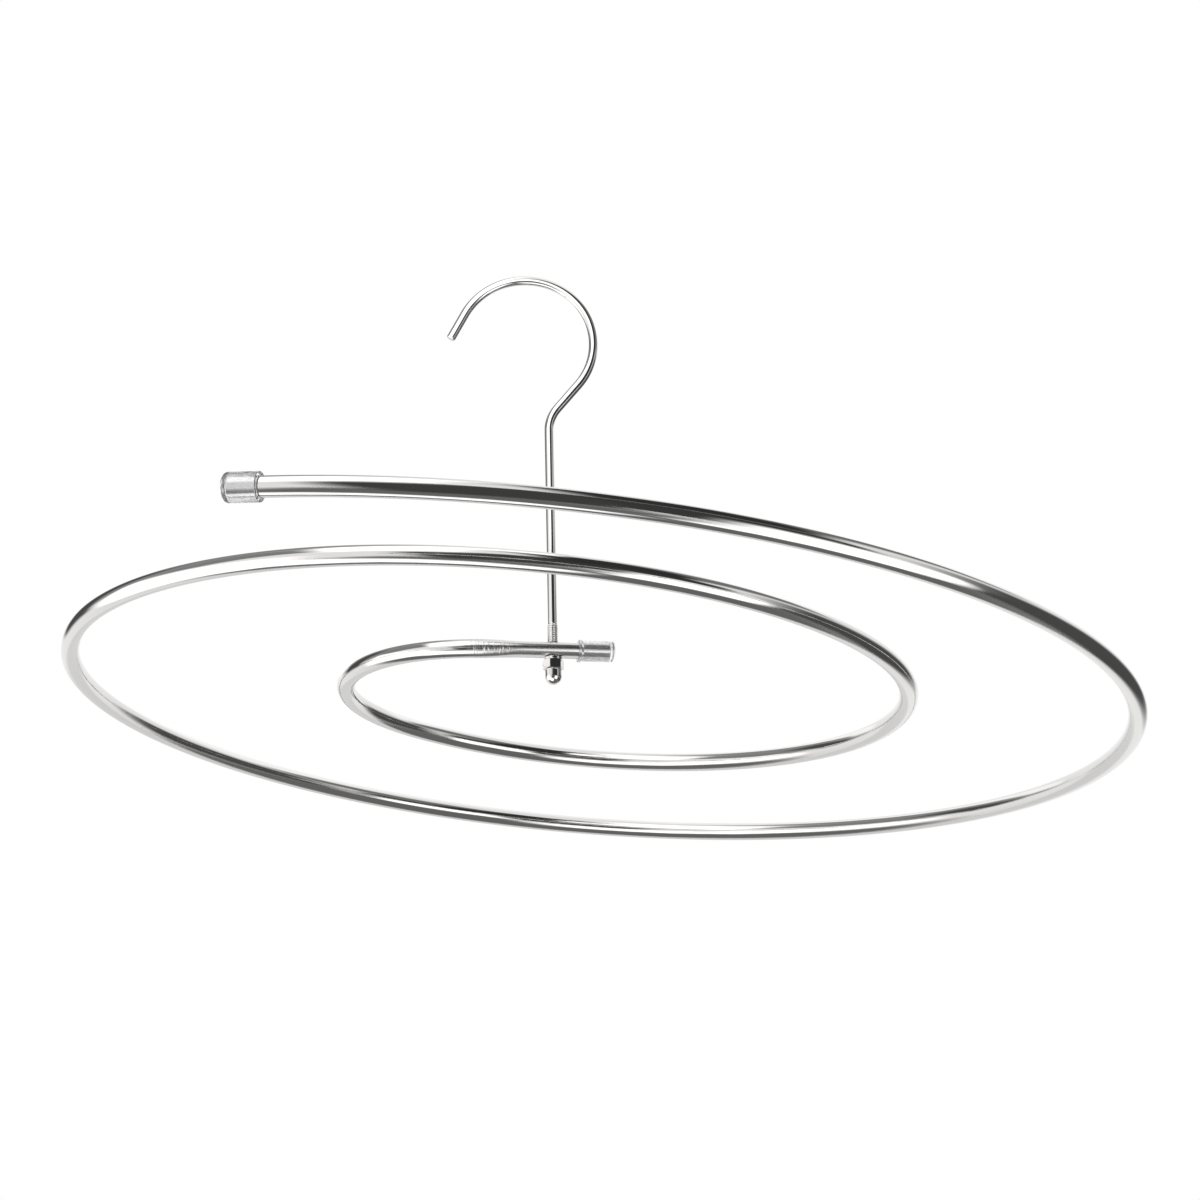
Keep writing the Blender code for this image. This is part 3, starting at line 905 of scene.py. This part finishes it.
def cap_outline(tube_radius, wall, grip, end_round, lip=0.0, lip_length=0.0):
    inside = tube_radius + CAP_CLEARANCE
    outside = inside + wall
    floor = grip + CAP_CLEARANCE
    top = floor + CAP_END_WALL
    mouth = [(outside, 0.0, MOUTH_ROUND)]
    if lip:
        mouth = [
            (outside, lip_length + lip, MOUTH_ROUND),
            (outside + lip, lip_length, MOUTH_ROUND),
            (outside + lip, 0.0, MOUTH_ROUND),
        ]
    corners = [(0.0, top, 0.0), (outside, top, end_round), *mouth]
    corners += [(inside, 0.0, 0.25 * MM), (inside, floor, 0.5 * MM), (0.0, floor, 0.0)]
    return rounded(corners, 8)


def lay_along(tube_end, outward, grip):
    side = outward.cross(UP).normalized()
    turn = Matrix((-side, side.cross(outward), outward)).transposed()
    return Matrix.Translation(tube_end - outward * grip) @ turn.to_4x4()


# %% The outer cap
outline = cap_outline(TUBE_RADIUS, OUTER_WALL, OUTER_GRIP, OUTER_ROUND)
outer_cap = turned_piece("outer_cap_outline", outline, CAP_STEPS)
outer_cap.matrix_world = lay_along(path[-1], outer_heading, OUTER_GRIP)
bpy.context.view_layer.update()
finished_piece(outer_cap, "clear_outer_cap", clear_vinyl, "coil", ["outer_end_cap"])

# %% The inner cap
outline = cap_outline(
    PRESSED_RADIUS, INNER_WALL, INNER_GRIP, INNER_ROUND, INNER_LIP, INNER_LIP_LENGTH
)
inner_cap = turned_piece("inner_cap_outline", outline, CAP_STEPS)
bpy.context.view_layer.update()
graph = bpy.context.evaluated_depsgraph_get()
mesh = bpy.data.meshes.new_from_object(inner_cap.evaluated_get(graph))
bpy.data.objects.remove(inner_cap, do_unlink=True)
for point in mesh.vertices:
    if abs(point.co.x) > 0.001 * MM:
        point.co.x += copysign(PRESSED_SPREAD, point.co.x)
inner_cap = add_object("inner_cap_form", mesh)
inner_cap.matrix_world = lay_along(path[0], (path[0] - path[1]).normalized(), INNER_GRIP)
bpy.context.view_layer.update()
finished_piece(inner_cap, "clear_inner_cap", clear_vinyl, "coil", ["inner_end_cap"])

# %% [markdown]
# ## The studio
#
# Polished steel has almost no colour of its own: it shows the room. In the photograph the tube mirrors white
# panels at the left, the upper left and the right, a white sheet low down in front, and dark cards above and
# beside the camera. Further round, the right side is dark, the left side grey and so is the floor. Panels hung
# round the rack give the same long bands, and a small light before the hook draws the bright line down its
# wire. Only mirrored and refracted light sees them, so they neither light the rack nor hide it. Each one fades
# at its edges, so the bands have soft borders. None of them is part of the rack.
#
# The bands move along the tube from turn to turn. How they move tells how near the panels are, and puts the
# middle of that room a little behind the shank.

# %% A panel that shows only in reflections
STUDIO_MIDDLE = HUB + Vector((0.0, 0.15, -0.02))


def panel_finish(name, glow, fade):
    material = bpy.data.materials.new(name)
    material.use_nodes = True
    nodes = material.node_tree
    nodes.nodes.clear()
    where = add_node(nodes, "ShaderNodeTexCoord")
    spot = add_node(nodes, "ShaderNodeSeparateXYZ", {0: where.outputs["Object"]})
    solid = 1.0
    for axis in ("X", "Y"):
        off_middle = add_node(nodes, MATH, {0: spot.outputs[axis]}, operation="ABSOLUTE")
        edge = add_node(
            nodes,
            RANGE,
            {"Value": off_middle, "From Min": 1.0 - fade, "From Max": 1.0, "To Min": 1.0, "To Max": 0.0},
            interpolation_type="SMOOTHSTEP",
        )
        solid = add_node(nodes, MATH, {0: edge, 1: solid}, operation="MULTIPLY")
    clear = add_node(nodes, "ShaderNodeBsdfTransparent")
    light = add_node(nodes, "ShaderNodeEmission", {"Strength": glow})
    mixed = add_node(nodes, "ShaderNodeMixShader", {0: solid, 1: clear, 2: light})
    add_node(nodes, "ShaderNodeOutputMaterial", {0: mixed})
    return material


def square(name, half, material):
    mesh = bpy.data.meshes.new(name)
    corners = [(-half, -half, 0.0), (half, -half, 0.0), (half, half, 0.0), (-half, half, 0.0)]
    mesh.from_pydata(corners, [], [(0, 1, 2, 3)])
    mesh.materials.append(material)
    return add_object(name, mesh)


def hang_panel(name, azimuth, elevation, width, height, roll, glow, fade, distance):
    """Hang a panel that faces the studio's middle, where azimuth 0 lies towards the camera, 90 to the right."""
    around, above = radians(azimuth), radians(elevation)
    out = Vector((sin(around) * cos(above), -cos(around) * cos(above), sin(above)))
    across = out.cross(UP).normalized()
    facing = Matrix((across, across.cross(out), -out)).transposed().to_4x4()
    turn = facing @ Matrix.Rotation(radians(roll), 4, "Z")
    half_width, half_height = (distance * tan(radians(angle / 2)) for angle in (width, height))
    size = Matrix.Diagonal((half_width, half_height, 1.0, 1.0))
    panel = square(name, 1.0, panel_finish(name, glow, fade))
    panel.matrix_world = Matrix.Translation(STUDIO_MIDDLE + out * distance) @ turn @ size
    panel.visible_camera = False
    panel.visible_diffuse = False
    panel.visible_shadow = False
    panel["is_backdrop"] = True


# %% [markdown]
# Each line below is one panel. Its place, its width and height and its roll are angles in degrees, as seen from
# the studio's middle. Then come its glow, the share of it that fades at each edge, and its distance in metres.

# %% Hang the panels
hang_panel("black_card", 21, 33, 36, 58, 7, 0.035, 0.45, 0.60)
hang_panel("camera_side_dark", -5, -4, 34, 46, -8, 0.06, 0.45, 0.72)
hang_panel("front_backing_dark", 22, 4, 70, 56, 5, 0.05, 0.3, 1.35)
hang_panel("low_white_sheet", -30, -40, 62, 44, 40, 1.6, 0.35, 0.50)
hang_panel("left_front_white", -66, -12, 62, 62, 22, 1.6, 0.35, 0.52)
hang_panel("right_white", 31, -18, 38, 44, 7, 1.8, 0.45, 0.60)
hang_panel("dark_side", 97, -10, 100, 84, 10, 0.08, 0.6, 0.9)
hang_panel("floor_grey", 0, -78, 124, 116, 17, 0.16, 0.55, 0.95)
hang_panel("dark_left", -110, 23, 30, 60, 9, 0.08, 0.5, 0.69)
hang_panel("grey_left", -118, 43, 68, 84, -15, 0.30, 0.5, 1.18)
hang_panel("upper_left_white", -27, 47, 36, 62, -10, 1.8, 0.5, 1.0)
hang_panel("mid_grey_left", -72, 40, 66, 44, -30, 0.26, 0.4, 1.3)
hang_panel("upper_right_grey", 48, 44, 80, 46, -10, 0.20, 0.5, 0.62)
hang_panel("hook_light", -4, 32, 22, 25, 0, 1.6, 0.3, 0.41)
hang_panel("back_white", 178, 51, 116, 30, 24, 1.2, 0.5, 0.54)
hang_panel("low_back_grey", -170, -20, 50, 71, 3, 0.8, 0.4, 1.09)

# %% [markdown]
# The room itself is plain white at a strength of 1, so a matt colour renders as it is written, and the picture
# gets its plain background. The pale floor lies far below the rack and takes its soft shadow. Further out it
# thins away to nothing, so that no edge or corner of it shows from any side. Its sizes are in metres.

# %% Room
world = bpy.data.worlds.new("white_room")
bpy.context.scene.world = world
world.use_nodes = True
tree = world.node_tree
tree.nodes.clear()
room = add_node(tree, "ShaderNodeBackground", {"Color": linear("FFFFFF"), "Strength": 1.0})
add_node(tree, "ShaderNodeOutputWorld", {0: room.outputs[0]})

# %% Floor
FLOOR_BELOW = 1.6
FLOOR_WHOLE = 1.2
FLOOR_GONE = 5.5
FLOOR_HALF = 6.0

pale = bpy.data.materials.new("pale_matt_floor")
pale.use_nodes = True
tree = pale.node_tree
paint = tree.nodes["Principled BSDF"]
paint.inputs["Base Color"].default_value = linear("F4F4F2")
paint.inputs["Roughness"].default_value = 0.9
where = add_node(tree, "ShaderNodeTexCoord")
reach = add_node(tree, VECTOR, {0: where.outputs["Object"]}, operation="LENGTH")
left = add_node(
    tree,
    RANGE,
    {
        "Value": reach.outputs["Value"],
        "From Min": FLOOR_WHOLE,
        "From Max": FLOOR_GONE,
        "To Min": 1.0,
        "To Max": 0.0,
    },
    interpolation_type="SMOOTHSTEP",
)
tree.links.new(left.outputs[0], paint.inputs["Alpha"])

floor = square("floor", FLOOR_HALF, pale)
floor.location = HUB - UP * FLOOR_BELOW
floor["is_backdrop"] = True
bpy.context.scene.view_settings.view_transform = "Standard"

# %% [markdown]
# ## Finish
#
# The dressed rack must fill the same box as the solids. The last lines measure the dressed pieces and print their
# box.

# %% Measure and finish
bpy.context.view_layer.update()
seen_box = [list(corner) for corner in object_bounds()]
print_box("the dressed pieces", seen_box)
